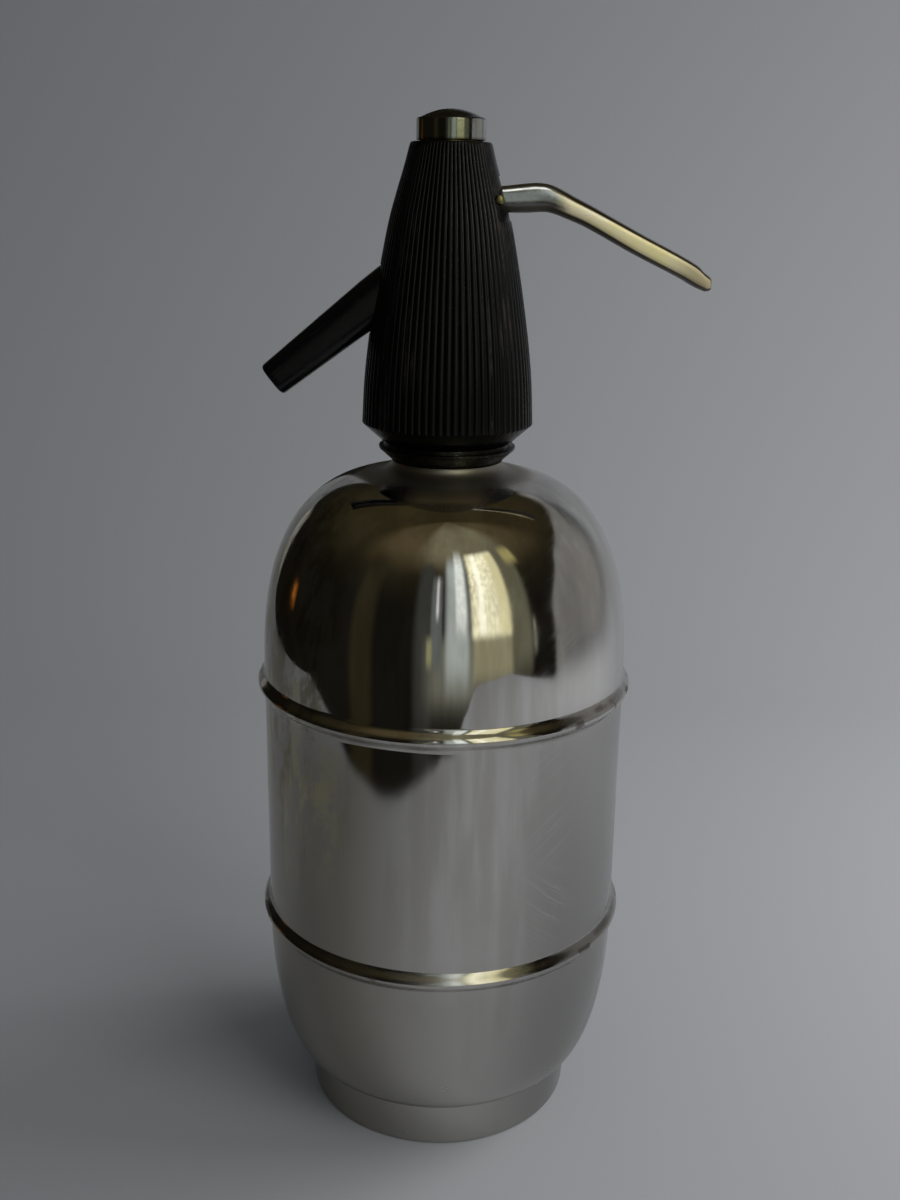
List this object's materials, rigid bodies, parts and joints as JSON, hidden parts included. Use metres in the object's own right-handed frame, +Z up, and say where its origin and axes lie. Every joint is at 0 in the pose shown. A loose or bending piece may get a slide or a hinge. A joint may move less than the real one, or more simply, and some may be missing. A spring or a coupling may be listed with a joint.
{
  "type": "soda siphon",
  "caption": "Polished steel soda siphon: beaded pressure bottle on a foot ring, fluted black screw-on head with side lever, slanting nozzle and chrome cap.",
  "frame": {"origin": "on the bottle's axis, in the plane of the foot ring's underside, just below the crown of the bottom dish", "axes": "+Z up along the bottle's axis, +X towards the lever's tip, -X towards the nozzle"},
  "size_m": [0.1187, 0.1036, 0.2774],
  "materials": {
    "steel": "mirror-polished stainless steel with fine scratches and smudges",
    "chrome": "polished chrome plate",
    "lever_plate": "nickel-chrome plate worn through to yellow brass along the arm",
    "brass": "turned brass, slightly dull",
    "bakelite": "glossy black thermoset moulding, brownish where the rib crests are worn",
    "rubber": "matt black rubber",
    "fibre": "matt brown vulcanised fibre",
    "spring_steel": "drawn stainless spring wire"
  },
  "bodies": {
    "bottle": {"body_shell": "steel", "bottom_dish": "steel", "foot_ring": "steel", "neck_collar": "chrome"},
    "tube_set": {"dip_tube": "steel", "tube_flange": "brass", "rim_gasket": "rubber"},
    "gasket": {"head_gasket": "rubber"},
    "head": {"valve_body": "brass", "head_cover": "bakelite", "top_cap": "chrome", "cap_washer": "fibre", "stem_packing": "rubber", "gland_nut": "brass", "nozzle": "bakelite", "spout_tube": "brass", "spout_ring": "rubber", "return_spring": "spring_steel", "lever_pin": "brass"},
    "lever": {"lever": "lever_plate"},
    "stem": {"valve_stem": "brass", "stem_yoke": "brass", "valve_disc": "rubber"}
  },
  "joints": [
    {"name": "tube_lift", "type": "slide", "parent": "bottle", "child": "tube_set", "axis": [0, 0, 1], "range_m": [0, 0.205]},
    {"name": "thread_rise", "type": "slide", "parent": "tube_set", "child": "gasket", "axis": [0, 0, 1], "range_m": [0, 0.012]},
    {"name": "head_unscrew", "type": "hinge", "parent": "gasket", "child": "head", "pos_m": [0, 0, 0.2], "axis": [0, 0, 1], "range_deg": [0, 1440]},
    {"name": "lever_press", "type": "hinge", "parent": "head", "child": "lever", "pos_m": [0.0122, 0, 0.2558], "axis": [0, 1, 0], "range_deg": [0, 14], "stiffness_Nm_per_rad": 0.6, "springref_deg": -17.19},
    {"name": "valve_lift", "type": "slide", "parent": "head", "child": "stem", "axis": [0, 0, 1], "range_m": [0, 0.003], "deforming": ["return_spring"]}
  ],
  "couplings": [
    {"joint": "valve_lift", "follows": "lever_press", "m_per_rad": 0.0122},
    {"joint": "thread_rise", "follows": "head_unscrew", "m_per_rad": 0.000477}
  ]
}
